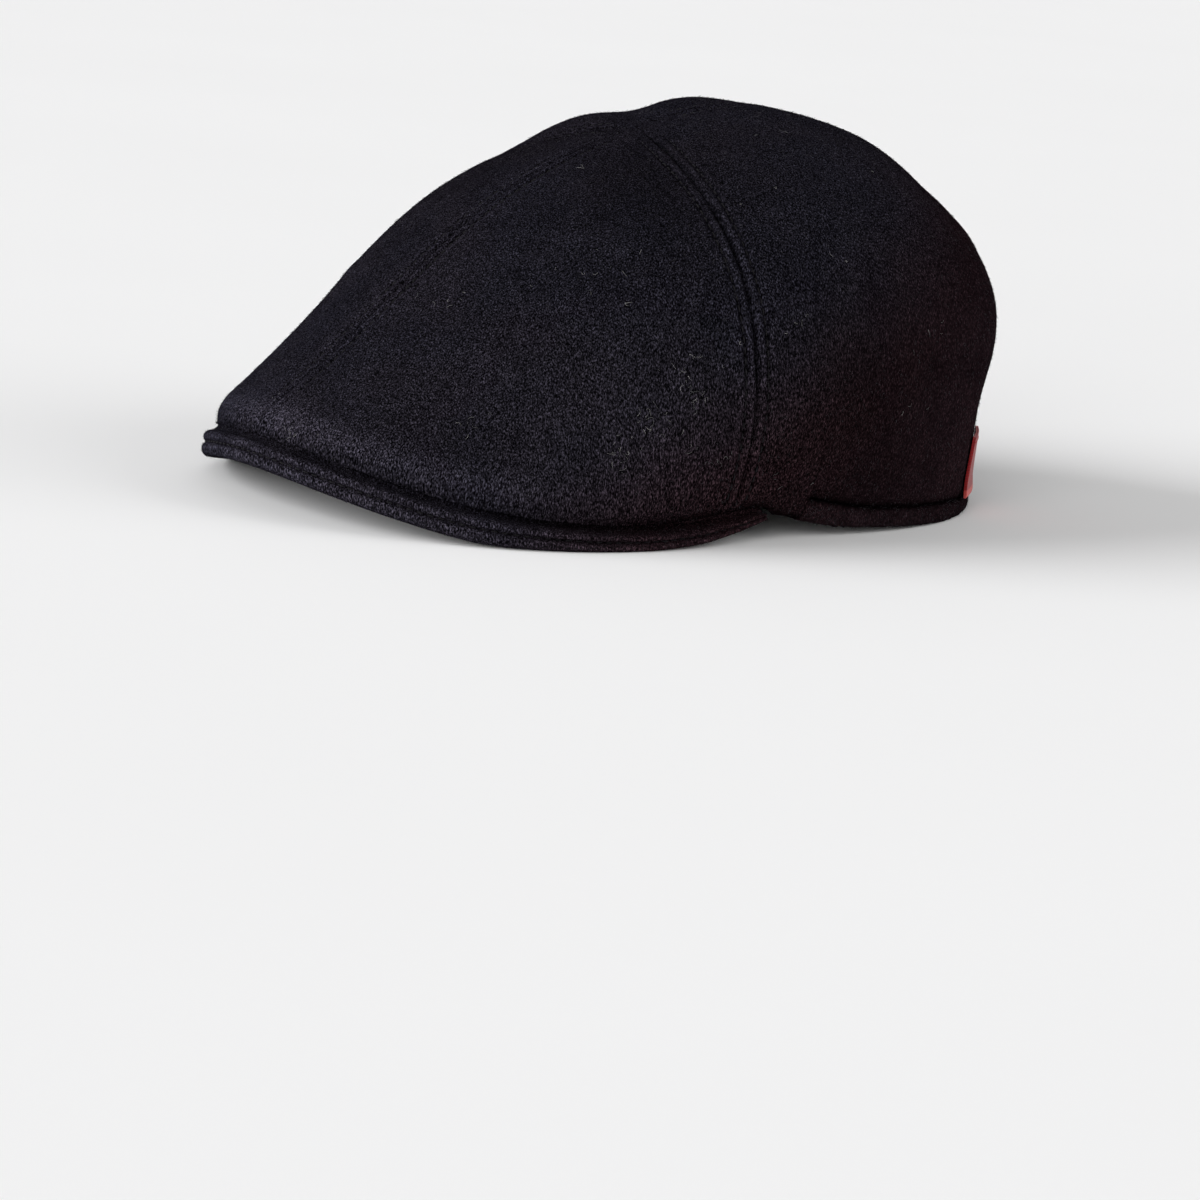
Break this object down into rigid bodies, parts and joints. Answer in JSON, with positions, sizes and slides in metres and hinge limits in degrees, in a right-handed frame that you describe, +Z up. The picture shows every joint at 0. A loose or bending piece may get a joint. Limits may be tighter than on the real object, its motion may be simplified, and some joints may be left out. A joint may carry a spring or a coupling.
{
  "type": "flat cap",
  "caption": "Panelled wool flat cap with a rounded crown drawn forward over a short arched peak, and a low folded band round the back of the rim.",
  "frame": {"origin": "on the surface the cap stands on, under the middle of its bounding box", "axes": "+Z up; -Y towards the tip of the peak; +X towards the wearer's left"},
  "size_m": [0.1869, 0.2642, 0.1227],
  "materials": {
    "crown_wool": "fulled black wool with a short nap",
    "peak_wool": "the same wool over a stiff board, stitched near the edge",
    "band_wool": "the same wool, folded",
    "tab_red": "plain red ribbon"
  },
  "bodies": {
    "root": {"front_panel_left": "crown_wool", "front_panel_right": "crown_wool", "rear_panel_left": "crown_wool", "rear_panel_right": "crown_wool", "peak": "peak_wool", "rear_band": "band_wool", "label_tab": "tab_red"}
  },
  "joints": []
}
